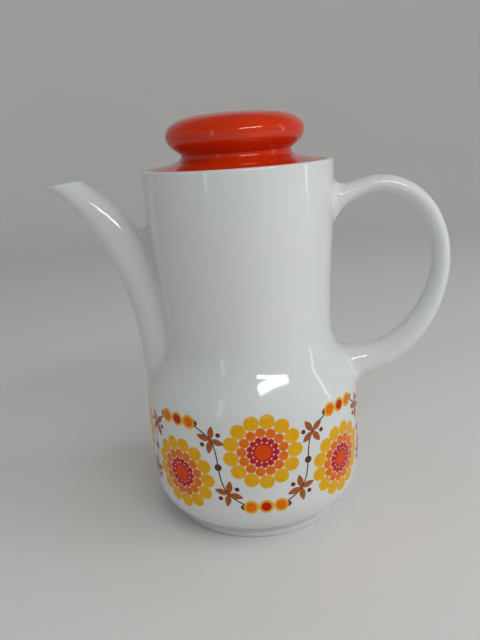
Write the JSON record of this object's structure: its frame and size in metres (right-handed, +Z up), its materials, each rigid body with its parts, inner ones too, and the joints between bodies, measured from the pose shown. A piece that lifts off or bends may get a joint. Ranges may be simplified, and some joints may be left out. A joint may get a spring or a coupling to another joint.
{
  "type": "coffee pot",
  "caption": "Tall round-bellied porcelain coffee pot with a slim curved spout, a loop handle, a seated lid with a wide knob and a printed band of flowers.",
  "frame": {"origin": "on the pot's axis, in the plane of the foot ring that it stands on", "axes": "+Z up along the pot's axis, +X towards the handle, -X towards the spout"},
  "size_m": [0.2112, 0.1172, 0.2158],
  "materials": {
    "white_glaze": "clear gloss over white porcelain",
    "orange_glaze": "clear gloss over deep orange-red",
    "print_yellow": "on-glaze print, golden yellow, gloss",
    "print_orange": "on-glaze print, orange, gloss",
    "print_brown": "on-glaze print, brown and rust, gloss"
  },
  "bodies": {
    "pot": {"handle": "white_glaze", "high_beads_1": "print_orange", "high_beads_2": "print_orange", "high_beads_3": "print_orange", "high_beads_4": "print_orange", "high_flower_1": "print_yellow", "high_flower_2": "print_yellow", "high_flower_3": "print_yellow", "high_flower_4": "print_yellow", "left_spray_1": "print_brown", "left_spray_2": "print_brown", "left_spray_3": "print_brown", "left_spray_4": "print_brown", "low_beads_1": "print_orange", "low_beads_2": "print_orange", "low_beads_3": "print_orange", "low_beads_4": "print_orange", "low_flower_1": "print_yellow", "low_flower_2": "print_yellow", "low_flower_3": "print_yellow", "low_flower_4": "print_yellow", "pot_body": "white_glaze", "right_spray_1": "print_brown", "right_spray_2": "print_brown", "right_spray_3": "print_brown", "right_spray_4": "print_brown", "spout": "white_glaze"},
    "lid": {"lid_cover": "orange_glaze", "lid_knob": "orange_glaze"}
  },
  "joints": [
    {"name": "lid_lift", "type": "slide", "parent": "pot", "child": "lid", "axis": [0, 0, 1], "range_m": [0, 0.06]}
  ]
}
